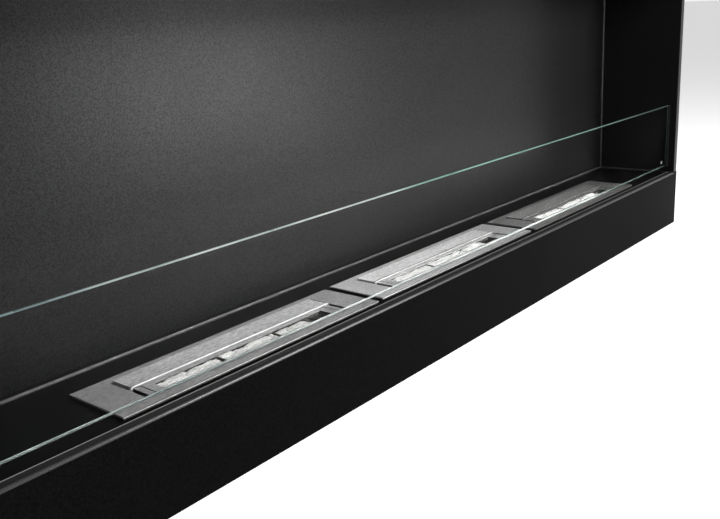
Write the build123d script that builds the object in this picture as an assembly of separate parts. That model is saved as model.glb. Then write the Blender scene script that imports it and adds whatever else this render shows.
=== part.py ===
from build123d import *
import os

os.makedirs("parts", exist_ok=True)

# A built-in bioethanol fireplace: a double-walled sheet-steel firebox with a folded front fascia,
# a toughened glass pane and three stainless burners in a row, each with a sliding shutter.
# Millimetres. Origin: centre of the base. +Z up, the open front faces -Y.

# ---------------------------------------------------------------- casing
side_gap = 16.0
back_gap = 22.5
top_gap = 21.5
casing_sheet = 1.5
casing_bend = 2.0
casing_flange = 16.0
tray_flange = 18.0
back_rim = 3.0
back_corner = 2.75
wall_hole_inset = 100.0
wall_hole_margin = 80.0
wall_hole_diameter = 9.0

# ---------------------------------------------------------------- firebox
interior_height = 407.0
end_margin = 171.5
liner_sheet = 1.5
corner_bend = 3.0
seam_inset = 4.0
seam_rise = 7.0
end_wall_flange = 11.0

# ---------------------------------------------------------------- fascia and header
fascia_height = 114.0
lip_width = 15.0
lip_hem = 9.0
front_bend = 2.5
hem_bend = 1.0
header_drop = 2.5
header_flange = 13.0
floor_drop = 2.5
floor_apron = 8.0
floor_bend = 1.5

# ---------------------------------------------------------------- glass and its channels
glass_height = 128.0
glass_thickness = 5.0
glass_setback = 14.5
glass_rise = 13.5
glass_edge = 0.6
glass_end_gap = 1.0
glass_burner_gap = 1.0
channel_sheet = 1.5
channel_grip = 12.0
channel_play = 0.3
channel_bend = 0.6
ear_length = 9.0
ear_height = 14.0
ear_corner = 3.0

# ---------------------------------------------------------------- burners
burner_count = 3
burner_length = 400.0
burner_depth = 95.0
burner_gap = 12.5
burner_back_margin = 52.0
burner_seating = [0.0, 2.0, 0.8]
plate_sheet = 1.2
plate_edge = 0.4
pip_height = 0.8
pip_diameter = 8.0
pip_count = 4
rim_inset = 0.6
rim_sheet = 1.2
collar_height = 1.8
collar_sheet = 1.5
tank_inset = 10.0
tank_depth = 66.0
tank_sheet = 1.2
tank_corner = 8.0
tank_foot = 4.0
tank_play = 2.5

# ---------------------------------------------------------------- burner mouth and what fills it
mouth_end_margin = 68.0
mouth_depth = 19.5
mouth_front_margin = 22.5
mouth_corner = 1.0
bay_count = 3
retainer_play = 0.2
retainer_sheet = 1.0
retainer_height = 10.0
crossbar_width = 2.0
crossbar_height = 3.0
well_length = 32.0
well_sheet = 0.8
well_depth = 56.0
well_play = 0.3
well_top_drop = 1.0
baffle_offset = 10.5
baffle_depth = 28.0
drain_hole_diameter = 5.0
drain_hole_count = 4
wool_play = 0.4
wool_drop = 4.6
wool_crown = 3.0
wool_bed_drop = 30.0

# ---------------------------------------------------------------- sliding shutter
shutter_sheet = 1.0
shutter_play = 0.2
shutter_back_margin = 11.6
shutter_front_margin = 49.0
shutter_corner = 1.0
bead_diameter = 3.0
bead_turn = 2.2
bead_reach = 4.5
slot_inset = 41.5
slot_width = 5.7
slot_length = 64.0
slot_back_margin = 12.6
slot_play = 0.4
tab_length = 27.0
tab_reach = 4.8
tab_foot = 3.4
relief_inset = 54.8
relief_width = 1.5
relief_length = 37.0
relief_front_margin = 18.0
hook_hole_diameter = 5.0
hook_hole_offset = 29.0
hook_hole_setback = 2.3

# ---------------------------------------------------------------- supports and fasteners
support_top = 12.0
support_foot = 17.0
support_length = 120.0
support_play = 2.0
support_end_inset = 84.0
bracket_width = 40.0
bracket_leg = 26.0
bracket_inset = 300.0
bracket_margin = 85.0
screw_diameter = 4.0
screw_hole_play = 0.2
screw_head_diameter = 8.0
screw_head_height = 2.4
screw_length = 8.0
pan_crown = 0.7
recess_span = 0.55
recess_width = 1.1
recess_depth = 1.4
recess_taper = 8.0
ear_screw_head_diameter = 6.5
ear_screw_head_height = 2.0
side_screw_count = 4
side_screw_margin = 90.0
tray_screw_count = 3
tray_screw_inset = 300.0

# ---------------------------------------------------------------- how far a cut runs past what it opens
overrun = 1.0
drill_reach = 6.0

# ---------------------------------------------------------------- sizes worked out from the ones above
burner_pitch = burner_length + burner_gap
mouth_length = burner_length - 2 * mouth_end_margin
interior_width = burner_count * burner_pitch - burner_gap + 2 * end_margin
glass_room = glass_setback + glass_thickness + glass_burner_gap
interior_depth = glass_room + burner_depth + burner_back_margin
floor_top = fascia_height - floor_drop
header_height = top_gap + header_drop
overall_width = interior_width + 2 * side_gap
overall_depth = interior_depth + back_gap
overall_height = floor_top + interior_height + top_gap

# ---------------------------------------------------------------- planes
half_width = overall_width / 2
front_face = -overall_depth / 2
rear_rim = overall_depth / 2
back_panel_outer = rear_rim - back_rim
back_panel_inner = back_panel_outer - casing_sheet
wall_face = interior_width / 2
back_face = front_face + interior_depth
back_outer = back_face + liner_sheet
floor_under = floor_top - liner_sheet
ceiling_under = floor_top + interior_height
header_bottom = overall_height - header_height
top_panel_under = overall_height - casing_sheet
lip_back = front_face + lip_width
seam_place = wall_face - seam_inset
glass_front = front_face + glass_setback
glass_back = glass_front + glass_thickness
glass_bottom = fascia_height + glass_rise
glass_top = glass_bottom + glass_height
burner_centre_y = back_face - burner_back_margin - burner_depth / 2
plate_top = floor_top + collar_height + rim_sheet + pip_height + plate_sheet
rim_top = -(plate_sheet + pip_height)
mouth_centre_y = -burner_depth / 2 + mouth_front_margin + mouth_depth / 2
bay_pitch = mouth_length / bay_count
well_start = mouth_length / 2 - well_length
slot_centre_x = burner_length / 2 - slot_inset - slot_width / 2
slot_inner_x = slot_centre_x - slot_width / 2
slot_back = burner_depth / 2 - slot_back_margin
slot_front = slot_back - slot_length
bead_centre_y = burner_depth / 2 - shutter_front_margin + bead_diameter
shutter_travel = bead_centre_y - bead_diameter / 2 - slot_play - slot_front
bolt_hole = screw_diameter + screw_hole_play


def folded(plane, points, inner_radii, thickness, length):
    """A strip of sheet folded along its middle line and drawn out evenly to both sides of the plane."""
    radii = [r + thickness / 2 for r in inner_radii]
    line = FilletPolyline(*points, radius=radii)
    return extrude(plane * trace(line, line_width=thickness), amount=length / 2, both=True)


def block(x_range, y_range, z_range):
    """A box between two limits on each axis."""
    spans = [x_range, y_range, z_range]
    middle = [(low + high) / 2 for low, high in spans]
    size = [high - low for low, high in spans]
    return Pos(*middle) * Box(*size)


def both_sides(shape):
    """A piece on the right and its mirror image on the left, as one group."""
    return shape + mirror(shape, about=Plane.YZ)


def hole(diameter, depth, place, axis):
    """A round drill through a wall, centred on a place and along an axis."""
    return Plane(origin=place, z_dir=axis) * Cylinder(diameter / 2, depth)


def pan_screw(place, axis, head_diameter, head_height):
    """A cross-recess pan screw: its head stands on the place and its shank runs against the axis."""
    head = Pos(0, 0, head_height / 2) * Cylinder(head_diameter / 2, head_height)
    head = fillet(head.edges().sort_by(Axis.Z)[-1], head_height * pan_crown)
    span = head_diameter * recess_span
    cross = Rectangle(span, recess_width) + Rectangle(recess_width, span)
    head -= extrude(Pos(0, 0, head_height) * cross, amount=-recess_depth, taper=recess_taper)
    shank = Pos(0, 0, -screw_length / 2) * Cylinder(screw_diameter / 2, screw_length)
    return Plane(origin=place, z_dir=axis) * (head + shank)


# ================================================================ outer casing
def spread(first, last, count):
    """Evenly spaced places from the first to the last."""
    return [first + (last - first) * index / (count - 1) for index in range(count)]


def back_screw_places():
    """Where the screws of the back panel go, in X and Z."""
    side_x = half_width - casing_sheet - casing_flange / 2
    heights = spread(side_screw_margin, overall_height - side_screw_margin, side_screw_count)
    reach = half_width - tray_screw_inset
    top_z = top_panel_under - tray_flange / 2
    places = [(x, z) for x in (-side_x, side_x) for z in heights]
    places += [(x, z) for x in spread(-reach, reach, tray_screw_count) for z in (tray_flange / 2, top_z)]
    return places


def drill_back(shape):
    """The screw holes of the back panel, cut in whatever lies on their lines."""
    for x, z in back_screw_places():
        shape -= hole(bolt_hole, drill_reach, (x, back_panel_inner, z), (0, 1, 0))
    return shape


def make_casing_back():
    """The back panel: a shallow pan whose rim stands against the wall."""
    outer = block(
        (-half_width, half_width), (back_panel_inner, rear_rim), (0, overall_height)
    )
    outer = fillet(outer.faces().sort_by(Axis.Y)[0].edges(), back_corner)
    hollow = block(
        (-half_width + casing_sheet, half_width - casing_sheet),
        (back_panel_outer, rear_rim + overrun),
        (casing_sheet, overall_height - casing_sheet),
    )
    pan = outer - hollow
    hole_x = half_width - wall_hole_inset
    for x in (-hole_x, hole_x):
        for z in (wall_hole_margin, overall_height - wall_hole_margin):
            pan -= hole(wall_hole_diameter, drill_reach, (x, back_panel_inner, z), (0, 1, 0))
    return drill_back(pan)


def make_casing_side():
    """The right outer side: a tall panel with a narrow front frame and a rear screw flange."""
    mid_x = half_width - casing_sheet / 2
    front_y = front_face + casing_sheet / 2
    rear_y = back_panel_inner - casing_sheet / 2
    path = [
        (wall_face, front_y),
        (mid_x, front_y),
        (mid_x, rear_y),
        (half_width - casing_sheet - casing_flange, rear_y),
    ]
    panel = folded(Plane.XY, path, [casing_bend, casing_bend], casing_sheet, top_panel_under)
    panel = Pos(0, 0, top_panel_under / 2) * panel
    front_band = (front_face - overrun, front_face + casing_sheet)
    across = (wall_face - overrun, half_width + overrun)
    panel -= block(across, front_band, (-overrun, fascia_height))
    panel -= block(across, front_band, (header_bottom, overall_height))
    flange_across = (half_width - casing_sheet - casing_flange - overrun, half_width - casing_sheet)
    flange_band = (back_panel_inner - casing_sheet - casing_bend, back_panel_inner + overrun)
    panel -= block(flange_across, flange_band, (-overrun, tray_flange + casing_bend))
    high = top_panel_under - tray_flange - casing_bend
    panel -= block(flange_across, flange_band, (high, overall_height))
    return drill_back(panel)


def make_casing_top():
    """The top panel with flanges turned down inside the sides and the back."""
    inside = half_width - casing_sheet
    lid = block(
        (-half_width, half_width), (front_face, back_panel_inner), (top_panel_under, overall_height)
    )
    rear = block(
        (-inside + casing_bend, inside - casing_bend),
        (back_panel_inner - casing_sheet, back_panel_inner),
        (top_panel_under - tray_flange, top_panel_under),
    )
    side = block(
        (inside - casing_sheet, inside),
        (front_face + casing_flange, back_panel_inner - casing_bend),
        (top_panel_under - tray_flange, top_panel_under),
    )
    return drill_back(lid + rear + both_sides(side))


def make_base_pan():
    """The base: a tray with upturned edges on which the whole fireplace stands."""
    inside = half_width - casing_sheet
    front = front_face + casing_sheet
    outer = block((-inside, inside), (front, back_panel_inner), (0, tray_flange))
    outer = fillet(outer.edges().filter_by(Axis.Z), casing_bend)
    hollow = block(
        (-inside + casing_sheet, inside - casing_sheet),
        (front + casing_sheet, back_panel_inner - casing_sheet),
        (casing_sheet, tray_flange + overrun),
    )
    return drill_back(outer - hollow)


def front_strip(height, bottom):
    """A front strip across the whole opening: face, lip turned inwards and hem turned away."""
    mid = casing_sheet / 2
    path = [
        (lip_back - mid, height - casing_sheet - lip_hem),
        (lip_back - mid, height - mid),
        (front_face + mid, height - mid),
        (front_face + mid, bottom),
    ]
    strip = folded(Plane.YZ, path, [hem_bend, front_bend], casing_sheet, interior_width)
    ends = block((wall_face, half_width), (front_face, front_face + casing_sheet), (bottom, height))
    return strip + both_sides(ends)


def make_front_fascia():
    """The low front fascia with its satin lip."""
    return front_strip(fascia_height, 0)


def make_header():
    """The narrow strip over the opening, with a flange under the top panel."""
    strip = front_strip(header_height, casing_sheet)
    strip = Pos(0, 0, overall_height) * mirror(strip, about=Plane.XY)
    flange = block(
        (-seam_place, seam_place),
        (front_face + casing_sheet, front_face + casing_sheet + header_flange),
        (top_panel_under - casing_sheet, top_panel_under),
    )
    return strip + flange


# ================================================================ firebox
def burner_centre(index):
    """The middle of a burner's plate, on its top face."""
    x = (index - (burner_count - 1) / 2) * burner_pitch
    return (x, burner_centre_y + burner_seating[index], plate_top)


def make_hearth():
    """The floor sheet: bent up into the back wall, bent down in front, with a collar round each cut-out."""
    mid = liner_sheet / 2
    path = [
        (back_face + mid, floor_top + seam_rise),
        (back_face + mid, floor_top - mid),
        (lip_back + mid, floor_top - mid),
        (lip_back + mid, floor_top - liner_sheet - floor_apron),
    ]
    shell = folded(Plane.YZ, path, [corner_bend, floor_bend], liner_sheet, 2 * seam_place)
    cut_length = burner_length - 2 * (tank_inset - tank_play)
    cut_depth = burner_depth - 2 * (tank_inset - tank_play)
    cut_corner = tank_corner + tank_play
    collar_face = RectangleRounded(
        cut_length + 2 * collar_sheet, cut_depth + 2 * collar_sheet, cut_corner + collar_sheet
    )
    cut_face = RectangleRounded(cut_length, cut_depth, cut_corner)
    for index in range(burner_count):
        x, _, _ = burner_centre(index)
        place = Pos(x, burner_centre_y, floor_under)
        shell += place * extrude(collar_face, liner_sheet + collar_height)
        depth = liner_sheet + collar_height + 2 * overrun
        shell -= place * Pos(0, 0, -overrun) * extrude(cut_face, depth)
    return shell


def make_back_wall():
    """The back wall: a flat sheet welded flush on the floor sheet's rear bend."""
    return block(
        (-seam_place, seam_place), (back_face, back_outer), (floor_top + seam_rise, ceiling_under)
    )


def make_ceiling():
    """The ceiling sheet on top of the back wall, with flanges turned up in front and behind."""
    mid = liner_sheet / 2
    flange_top = ceiling_under + liner_sheet + floor_apron
    rear = back_outer + floor_bend + mid
    path = [
        (rear, flange_top),
        (rear, ceiling_under + mid),
        (lip_back + mid, ceiling_under + mid),
        (lip_back + mid, flange_top),
    ]
    return folded(Plane.YZ, path, [floor_bend, floor_bend], liner_sheet, 2 * seam_place)


def make_end_wall():
    """The right end wall: a shallow pan that meets floor, back and ceiling in rounded corners."""
    outer_radius = corner_bend + liner_sheet
    outer = block(
        (seam_place, wall_face + liner_sheet),
        (front_face + casing_sheet, back_outer),
        (floor_under, ceiling_under + liner_sheet),
    )
    hollow = block(
        (seam_place - seam_inset, wall_face),
        (front_face - liner_sheet, back_face),
        (floor_top, ceiling_under),
    )

    def meeting_edges(solid):
        """The edges where the wall, the back, the floor and the ceiling meet."""
        wall = solid.faces().sort_by(Axis.X)[-1].edges()
        back = solid.faces().sort_by(Axis.Y)[-1].edges()
        low = solid.faces().sort_by(Axis.Z)[0].edges()
        high = solid.faces().sort_by(Axis.Z)[-1].edges()
        pairs = [(wall, back), (wall, low), (wall, high), (back, low)]
        return [edge for one, other in pairs for edge in one if edge in other]

    outer = fillet(meeting_edges(outer), outer_radius)
    hollow = fillet(meeting_edges(hollow), corner_bend)
    wall = outer - hollow
    across = (seam_place - overrun, wall_face + liner_sheet + overrun)
    in_front = (front_face - overrun, lip_back)
    wall -= block(across, in_front, (floor_under - overrun, fascia_height))
    wall -= block(across, in_front, (header_bottom, overall_height))
    flange = block(
        (wall_face + liner_sheet, wall_face + liner_sheet + end_wall_flange),
        (front_face + casing_sheet, front_face + casing_sheet + liner_sheet),
        (fascia_height, header_bottom),
    )
    wall += flange
    return wall - hole(bolt_hole, drill_reach, ear_screw_place(), (1, 0, 0))


# ================================================================ glass
def ear_screw_place():
    """Where the right glass channel's ear is screwed to the end wall."""
    y = glass_back + channel_play + channel_sheet + ear_length / 2
    z = glass_bottom - channel_sheet + ear_height / 2
    return (wall_face, y, z)


def make_glass_pane():
    """The toughened pane with ground edges."""
    reach = wall_face - channel_sheet - glass_end_gap
    pane = block((-reach, reach), (glass_front, glass_back), (glass_bottom, glass_top))
    return chamfer(pane.edges().filter_by(Axis.X), glass_edge)


def make_glass_channel():
    """The right channel: it takes the pane's end, stops it below and has one screwed ear."""
    mid = channel_sheet / 2
    mouth = wall_face - channel_grip
    rear_y = glass_back + channel_play + mid
    front_y = glass_front - channel_play - mid
    path = [(mouth, rear_y), (wall_face - mid, rear_y), (wall_face - mid, front_y), (mouth, front_y)]
    bottom = glass_bottom - channel_sheet
    length = glass_top - bottom
    channel = folded(Plane.XY, path, [channel_bend, channel_bend], channel_sheet, length)
    channel = Pos(0, 0, bottom + length / 2) * channel
    stop = block((mouth, wall_face - mid), (front_y, rear_y), (bottom, glass_bottom))
    ear_start = glass_back + channel_play + mid
    ear_end = glass_back + channel_play + channel_sheet + ear_length
    ear = block((wall_face - channel_sheet, wall_face), (ear_start, ear_end), (bottom, bottom + ear_height))
    ear = fillet(ear.edges().filter_by(Axis.X).group_by(Axis.Y)[-1], ear_corner)
    channel = channel + stop + ear
    return channel - hole(bolt_hole, drill_reach, ear_screw_place(), (1, 0, 0))


# ================================================================ burner, built round its plate's top
def make_tank():
    """The fuel tank: a deep drawn tray with a rim, which carries the plate on pressed pips."""
    length = burner_length - 2 * tank_inset
    depth = burner_depth - 2 * tank_inset
    outer = extrude(RectangleRounded(length, depth, tank_corner), -tank_depth)
    outer = fillet(outer.faces().sort_by(Axis.Z)[0].edges(), tank_foot)
    inner_corner = tank_corner - tank_sheet
    hollow = extrude(
        RectangleRounded(length - 2 * tank_sheet, depth - 2 * tank_sheet, inner_corner),
        tank_sheet - tank_depth,
    )
    hollow = fillet(hollow.faces().sort_by(Axis.Z)[0].edges(), tank_foot - tank_sheet)
    rim = extrude(
        Rectangle(burner_length - 2 * rim_inset, burner_depth - 2 * rim_inset), -rim_sheet
    )
    tank = outer + rim - hollow
    pip_y = burner_depth / 2 - tank_inset / 2
    pip_step = (burner_length - 2 * tank_inset) / (pip_count - 1)
    for index in range(pip_count):
        x = -burner_length / 2 + tank_inset / 2 + index * (pip_step + tank_inset / (pip_count - 1))
        for y in (-pip_y, pip_y):
            tank += Pos(x, y, pip_height / 2) * Cylinder(pip_diameter / 2, pip_height)
    return Pos(0, 0, rim_top) * tank


def make_plate():
    """The top plate: mouth, the two long slots of the shutter and the two narrow relief slots."""
    plate = extrude(Rectangle(burner_length, burner_depth), -plate_sheet)
    plate = chamfer(plate.faces().sort_by(Axis.Z)[-1].edges(), plate_edge)
    cut = -plate_sheet - 2 * overrun
    mouth = extrude(RectangleRounded(mouth_length, mouth_depth, mouth_corner), cut)
    plate -= Pos(0, mouth_centre_y, overrun) * mouth
    slot = extrude(Rectangle(slot_width, slot_length), cut)
    relief = extrude(Rectangle(relief_width, relief_length), cut)
    relief_x = burner_length / 2 - relief_inset - relief_width / 2
    relief_y = -burner_depth / 2 + relief_front_margin + relief_length / 2
    for side in (-1, 1):
        plate -= Pos(side * slot_centre_x, (slot_back + slot_front) / 2, overrun) * slot
        plate -= Pos(side * relief_x, relief_y, overrun) * relief
    return plate


def make_retainer():
    """The frame under the mouth, with the crossbars that hold the wool down."""
    length = mouth_length + 2 * retainer_play
    depth = mouth_depth + 2 * retainer_play
    wrap = 2 * retainer_sheet
    ring = extrude(Rectangle(length + wrap, depth + wrap) - Rectangle(length, depth), -retainer_height)
    bar = Box(crossbar_width, depth + retainer_sheet, crossbar_height)
    for index in range(1, bay_count):
        ring += Pos(-mouth_length / 2 + index * bay_pitch, 0, -crossbar_height / 2) * bar
    return Pos(0, mouth_centre_y, -plate_sheet) * ring


def make_filler_well():
    """The well at the mouth's right end, into which the fuel is poured: a tube with a baffle."""
    length = well_length - well_play
    depth = mouth_depth - 2 * well_play
    inner = Rectangle(length - 2 * well_sheet, depth - 2 * well_sheet)
    tube = extrude(Rectangle(length, depth) - inner, -well_depth)
    baffle = Box(well_sheet, depth - well_sheet, baffle_depth)
    tube += Pos(baffle_offset - length / 2, 0, -baffle_depth / 2) * baffle
    step = length / (drain_hole_count + 1)
    for index in range(drain_hole_count):
        x = -length / 2 + (index + 1) * step
        z = -well_depth + drain_hole_diameter
        tube -= hole(drain_hole_diameter, 2 * depth, (x, 0, z), (0, 1, 0))
    x = mouth_length / 2 - well_length / 2
    return Pos(x, mouth_centre_y, -plate_sheet - well_top_drop) * tube


def make_wool():
    """The ceramic wool: a bed that fills the tank and one crowned lump in each bay of the mouth."""
    bed_start = -burner_length / 2 + tank_inset + tank_sheet + wool_play
    bed_end = well_start - wool_play
    bed_half = burner_depth / 2 - tank_inset - tank_sheet - wool_play
    bed_bottom = rim_top - tank_depth + tank_sheet + wool_play
    wool = block((bed_start, bed_end), (-bed_half, bed_half), (bed_bottom, -wool_bed_drop))
    wool = fillet(wool.edges().filter_by(Axis.Z).group_by(Axis.X)[0], tank_corner - tank_sheet)
    wool = chamfer(wool.edges().group_by(Axis.Z)[0], tank_foot - tank_sheet)
    half = mouth_depth / 2 - wool_play
    for index in range(bay_count):
        start = -mouth_length / 2 + index * bay_pitch
        end = min(start + bay_pitch, well_start)
        lump = block(
            (start + crossbar_width, end - crossbar_width),
            (mouth_centre_y - half, mouth_centre_y + half),
            (-wool_bed_drop, -wool_drop),
        )
        wool += fillet(lump.faces().sort_by(Axis.Z)[-1].edges(), wool_crown)
    return wool


def make_shutter():
    """The sliding shutter: a flat sheet, a rolled bead in front and ends that reach through the slots."""
    centre_x = slot_inner_x + slot_play + bead_diameter / 2
    outer_x = slot_inner_x + slot_play + shutter_sheet
    back_y = burner_depth / 2 - shutter_back_margin
    low = shutter_play
    high = shutter_play + shutter_sheet
    sheet = block((-outer_x, outer_x), (bead_centre_y, back_y), (low, high))
    sheet = fillet(sheet.edges().filter_by(Axis.Z).group_by(Axis.Y)[-1], shutter_corner)
    hole_y = bead_centre_y + bead_diameter / 2 + hook_hole_setback + hook_hole_diameter / 2
    sheet -= hole(hook_hole_diameter, drill_reach, (hook_hole_offset, hole_y, high), (0, 0, 1))
    tab_bottom = -plate_sheet - tab_reach
    tab_back = slot_back - slot_play
    tab = block(
        (outer_x - shutter_sheet, outer_x), (tab_back - tab_length, tab_back), (tab_bottom, high)
    )
    foot = block(
        (outer_x - shutter_sheet - tab_foot, outer_x),
        (tab_back - tab_length, tab_back),
        (tab_bottom, tab_bottom + shutter_sheet),
    )
    bead_z = shutter_play + bead_diameter / 2
    bead_low = -plate_sheet - bead_reach
    path = FilletPolyline(
        (-centre_x, bead_low),
        (-centre_x, bead_z),
        (centre_x, bead_z),
        (centre_x, bead_low),
        radius=bead_turn,
    )
    path = Plane(origin=(0, bead_centre_y, 0), x_dir=(1, 0, 0), z_dir=(0, -1, 0)) * path
    start = Plane(origin=(-centre_x, bead_centre_y, bead_low), z_dir=(0, 0, 1))
    bead = sweep(start * Circle(bead_diameter / 2), path=path)
    return sheet + both_sides(tab + foot) + bead


# ================================================================ supports and fasteners
def make_floor_support(place_x):
    """A Z-shaped support between the base pan and the hearth floor."""
    mid = casing_sheet / 2
    web_x = place_x - support_top / 2
    low = casing_sheet + mid
    high = floor_under - mid
    path = [
        (web_x - support_foot, low),
        (web_x, low),
        (web_x, high),
        (web_x + support_top, high),
    ]
    strip = folded(Plane.XZ, path, [casing_bend, casing_bend], casing_sheet, support_length)
    front = lip_back + liner_sheet + support_play
    return Pos(0, front + support_length / 2, 0) * strip


def support_places():
    """One support under each gap between burners and one near each end of the floor."""
    first = -(burner_count - 2) / 2 * burner_pitch
    gaps = [first + index * burner_pitch for index in range(burner_count - 1)]
    end = seam_place - support_end_inset
    return [-end] + gaps + [end]


def make_liner_bracket(place_x, place_z):
    """A Z-shaped spacer between the back wall and the back panel."""
    mid = casing_sheet / 2
    path = [
        (back_outer + mid, place_z - bracket_leg),
        (back_outer + mid, place_z),
        (back_panel_inner - mid, place_z),
        (back_panel_inner - mid, place_z + bracket_leg),
    ]
    strip = folded(Plane.YZ, path, [casing_bend, casing_bend], casing_sheet, bracket_width)
    return Pos(place_x, 0, 0) * strip


def make_back_screws():
    """All screws of the back panel."""
    screws = [
        pan_screw((x, back_panel_outer, z), (0, 1, 0), screw_head_diameter, screw_head_height)
        for x, z in back_screw_places()
    ]
    return Compound(children=screws)


def make_ear_screws():
    """The two screws that hold the glass channels."""
    x, y, z = ear_screw_place()
    face = x - channel_sheet
    screw = pan_screw((face, y, z), (-1, 0, 0), ear_screw_head_diameter, ear_screw_head_height)
    return Compound(children=[screw, mirror(screw, about=Plane.YZ)])


def all_pieces():
    """Every piece by name, in its place."""
    side = make_casing_side()
    end_wall = make_end_wall()
    channel = make_glass_channel()
    pieces = {
        "casing_back": make_casing_back(),
        "casing_right": side,
        "casing_left": mirror(side, about=Plane.YZ),
        "casing_top": make_casing_top(),
        "base_pan": make_base_pan(),
        "front_fascia": make_front_fascia(),
        "header_strip": make_header(),
        "hearth_sheet": make_hearth(),
        "back_wall": make_back_wall(),
        "ceiling_sheet": make_ceiling(),
        "end_wall_right": end_wall,
        "end_wall_left": mirror(end_wall, about=Plane.YZ),
        "glass_pane": make_glass_pane(),
        "glass_channel_right": channel,
        "glass_channel_left": mirror(channel, about=Plane.YZ),
        "glass_channel_screws": make_ear_screws(),
        "casing_screws": make_back_screws(),
    }
    for number, x in enumerate(support_places(), start=1):
        pieces[f"floor_support_{number}"] = make_floor_support(x)
    bracket_x = half_width - bracket_inset
    heights = (floor_top + bracket_margin, ceiling_under - bracket_margin)
    corners = [(x, z) for z in heights for x in (-bracket_x, bracket_x)]
    for number, (x, z) in enumerate(corners, start=1):
        pieces[f"liner_bracket_{number}"] = make_liner_bracket(x, z)
    burner = {
        "burner_tank": make_tank(),
        "burner_plate": make_plate(),
        "wool_retainer": make_retainer(),
        "filler_well": make_filler_well(),
        "ceramic_wool": make_wool(),
        "shutter": make_shutter(),
    }
    for index in range(burner_count):
        for name, shape in burner.items():
            pieces[f"{name}_{index + 1}"] = Pos(*burner_centre(index)) * shape
    return pieces


for node, piece in all_pieces().items():
    export_step(piece, f"parts/{node}.step")

print("shutter travel", round(shutter_travel, 3))
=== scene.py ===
import logging
import math
import random
from dataclasses import dataclass, replace
from enum import Enum

import bmesh
import bpy
from mathutils import Matrix, Vector, noise


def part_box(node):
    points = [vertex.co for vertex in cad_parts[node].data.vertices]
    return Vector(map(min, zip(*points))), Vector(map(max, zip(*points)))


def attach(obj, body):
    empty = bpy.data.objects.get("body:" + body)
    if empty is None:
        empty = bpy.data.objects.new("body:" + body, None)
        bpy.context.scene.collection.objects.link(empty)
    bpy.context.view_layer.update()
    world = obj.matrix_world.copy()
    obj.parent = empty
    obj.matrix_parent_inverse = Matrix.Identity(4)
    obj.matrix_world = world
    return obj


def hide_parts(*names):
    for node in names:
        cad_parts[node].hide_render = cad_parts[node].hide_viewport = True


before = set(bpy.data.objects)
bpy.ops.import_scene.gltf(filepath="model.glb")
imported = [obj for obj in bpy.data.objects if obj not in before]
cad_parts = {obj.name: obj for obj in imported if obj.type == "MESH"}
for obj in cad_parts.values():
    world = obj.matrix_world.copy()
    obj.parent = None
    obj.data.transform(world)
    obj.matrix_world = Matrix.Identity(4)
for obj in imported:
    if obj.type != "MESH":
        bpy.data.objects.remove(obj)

# A built-in bioethanol fireplace, dressed in its finishes and set in a plain studio.
# Metres. +Z is up, +X runs along the fireplace and the open front faces -Y.

LOG = logging.getLogger("fireplace")
MM = 0.001
WHITE = "ffffff"

# A Mix node's sockets by number, because its number and its colour inputs share their names.
NUMBER_A, NUMBER_B = 2, 3
COLOUR_A, COLOUR_B, COLOUR_OUT = 6, 7, 2

# A noise mostly stays near 0.5. Each span is the part of it that a pattern uses: the narrower, the harder.
UNIT = (0.0, 1.0)
CLOUD_SPAN = (0.2, 0.8)
NOISE_SPAN = (0.3, 0.7)
FIBRE_SPAN = (0.3, 0.6)
GRAIN_SPAN = (0.35, 0.65)
STREAK_SPAN = (0.4, 0.6)

# How a sheet's flat faces are told from its bends, and where its shading breaks.
FLAT_WITHIN = math.radians(3)
SHARP_FROM = math.radians(50)
WELD_GAP = 0.01 * MM


# ---------------------------------------------------------------- colours and nodes
def linear(hex_colour: str) -> tuple[float, float, float, float]:
    """Turn an sRGB hex colour into linear red, green, blue and alpha, with the sRGB standard's own numbers.

    Args:
        hex_colour: Six hex digits, such as "8c8c88".

    Returns:
        The four linear channels that a shader socket takes.
    """
    channels = []
    for start in (0, 2, 4):
        value = int(hex_colour[start:start + 2], 16) / 255
        channels.append(value / 12.92 if value <= 0.04045 else ((value + 0.055) / 1.055) ** 2.4)
    return (channels[0], channels[1], channels[2], 1.0)


def feed(node: bpy.types.Node, name: str | int, socket: bpy.types.NodeSocket) -> None:
    """Link a socket to a node's input, by its name or number."""
    node.id_data.links.new(socket, node.inputs[name])


def add_node(material: bpy.types.ID, kind: str,
             links: dict[str | int, bpy.types.NodeSocket] | None = None,
             **settings: object) -> bpy.types.Node:
    """Add one node with its settings and its links.

    Args:
        material: The material or world whose tree takes the node.
        kind: The node's type, such as "ShaderNodeTexNoise".
        links: Input name or number to the output socket that feeds it.
        **settings: Node properties, or input values where the name is "in_" and the input's name.

    Returns:
        The new node.
    """
    node = material.node_tree.nodes.new(kind)
    for name, value in settings.items():
        if name.startswith("in_"):
            node.inputs[name[3:].replace("_", " ")].default_value = value
        else:
            setattr(node, name, value)
    for name, socket in (links or {}).items():
        feed(node, name, socket)
    return node


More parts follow.
